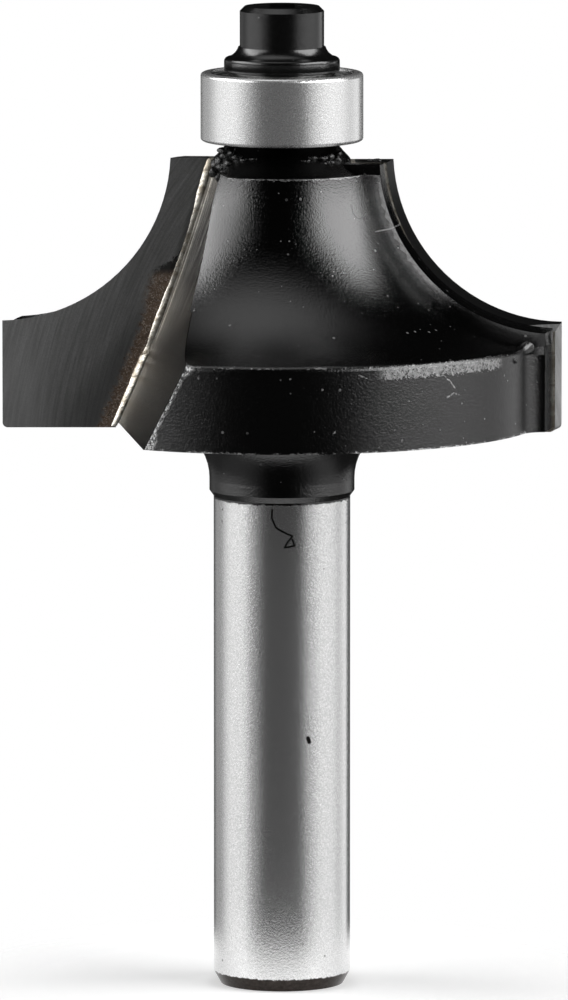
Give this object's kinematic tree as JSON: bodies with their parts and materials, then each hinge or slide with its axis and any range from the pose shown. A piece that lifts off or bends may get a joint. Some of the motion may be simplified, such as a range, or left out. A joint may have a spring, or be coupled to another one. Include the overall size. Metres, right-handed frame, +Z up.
{
  "type": "router bit",
  "caption": "Round-over router bit: round shank, chip-limiting cutter body with brazed carbide tips, and a ball bearing guide clamped by a washer and a socket-head screw.",
  "frame": {"origin": "centre of the shank's end face, which the bit stands on", "axes": "+Z up the bit's axis from the shank's end to the screw, +X along the first cutting edge's wing, +Y the way that wing's rake face looks"},
  "size_m": [0.0326, 0.03, 0.0576],
  "materials": {
    "painted_steel": "gloss black paint on the body, ground steel on the shank",
    "carbide": "fine ground",
    "silver_braze": "bright, uneven",
    "ground_steel": "ground round its axis",
    "polished_steel": "polished",
    "cage_steel": "pressed",
    "shield_steel": "dark, satin",
    "spring_steel": "drawn wire",
    "black_steel": "black oxide, satin"
  },
  "bodies": {
    "cutter": {"cutter_body": "painted_steel", "carbide_tip_1": "carbide", "carbide_tip_2": "carbide", "braze_seam_1": "silver_braze", "braze_seam_2": "silver_braze", "bearing_inner_ring": "polished_steel", "retaining_washer": "black_steel", "cap_screw": "black_steel"},
    "outer_ring": {"bearing_outer_ring": "ground_steel", "bearing_shield_top": "shield_steel", "bearing_shield_bottom": "shield_steel", "shield_snap_ring_top": "spring_steel", "shield_snap_ring_bottom": "spring_steel"},
    "cage": {"bearing_cage": "cage_steel"},
    "ball_1": {"bearing_ball_1": "polished_steel"},
    "ball_2": {"bearing_ball_2": "polished_steel"},
    "ball_3": {"bearing_ball_3": "polished_steel"},
    "ball_4": {"bearing_ball_4": "polished_steel"},
    "ball_5": {"bearing_ball_5": "polished_steel"},
    "ball_6": {"bearing_ball_6": "polished_steel"},
    "ball_7": {"bearing_ball_7": "polished_steel"},
    "ball_8": {"bearing_ball_8": "polished_steel"}
  },
  "joints": [
    {"name": "outer_ring_spin", "type": "hinge", "parent": "cutter", "child": "outer_ring", "pos_m": [0, 0, 0.0517], "axis": [0, 0, 1], "continuous": true},
    {"name": "cage_spin", "type": "hinge", "parent": "cutter", "child": "cage", "pos_m": [0, 0, 0.0517], "axis": [0, 0, 1], "continuous": true},
    {"name": "ball_1_spin", "type": "hinge", "parent": "cage", "child": "ball_1", "pos_m": [0.00357, 0, 0.0517], "axis": [0, 0, 1], "continuous": true},
    {"name": "ball_2_spin", "type": "hinge", "parent": "cage", "child": "ball_2", "pos_m": [0.00252, 0.00252, 0.0517], "axis": [0, 0, 1], "continuous": true},
    {"name": "ball_3_spin", "type": "hinge", "parent": "cage", "child": "ball_3", "pos_m": [0, 0.00357, 0.0517], "axis": [0, 0, 1], "continuous": true},
    {"name": "ball_4_spin", "type": "hinge", "parent": "cage", "child": "ball_4", "pos_m": [-0.00252, 0.00252, 0.0517], "axis": [0, 0, 1], "continuous": true},
    {"name": "ball_5_spin", "type": "hinge", "parent": "cage", "child": "ball_5", "pos_m": [-0.00357, 0, 0.0517], "axis": [0, 0, 1], "continuous": true},
    {"name": "ball_6_spin", "type": "hinge", "parent": "cage", "child": "ball_6", "pos_m": [-0.00252, -0.00252, 0.0517], "axis": [0, 0, 1], "continuous": true},
    {"name": "ball_7_spin", "type": "hinge", "parent": "cage", "child": "ball_7", "pos_m": [0, -0.00357, 0.0517], "axis": [0, 0, 1], "continuous": true},
    {"name": "ball_8_spin", "type": "hinge", "parent": "cage", "child": "ball_8", "pos_m": [0.00252, -0.00252, 0.0517], "axis": [0, 0, 1], "continuous": true}
  ],
  "couplings": [
    {"joint": "cage_spin", "follows": "outer_ring_spin", "ratio": 0.6052},
    {"joint": "ball_1_spin", "follows": "outer_ring_spin", "ratio": 2.2711},
    {"joint": "ball_2_spin", "follows": "outer_ring_spin", "ratio": 2.2711},
    {"joint": "ball_3_spin", "follows": "outer_ring_spin", "ratio": 2.2711},
    {"joint": "ball_4_spin", "follows": "outer_ring_spin", "ratio": 2.2711},
    {"joint": "ball_5_spin", "follows": "outer_ring_spin", "ratio": 2.2711},
    {"joint": "ball_6_spin", "follows": "outer_ring_spin", "ratio": 2.2711},
    {"joint": "ball_7_spin", "follows": "outer_ring_spin", "ratio": 2.2711},
    {"joint": "ball_8_spin", "follows": "outer_ring_spin", "ratio": 2.2711}
  ]
}
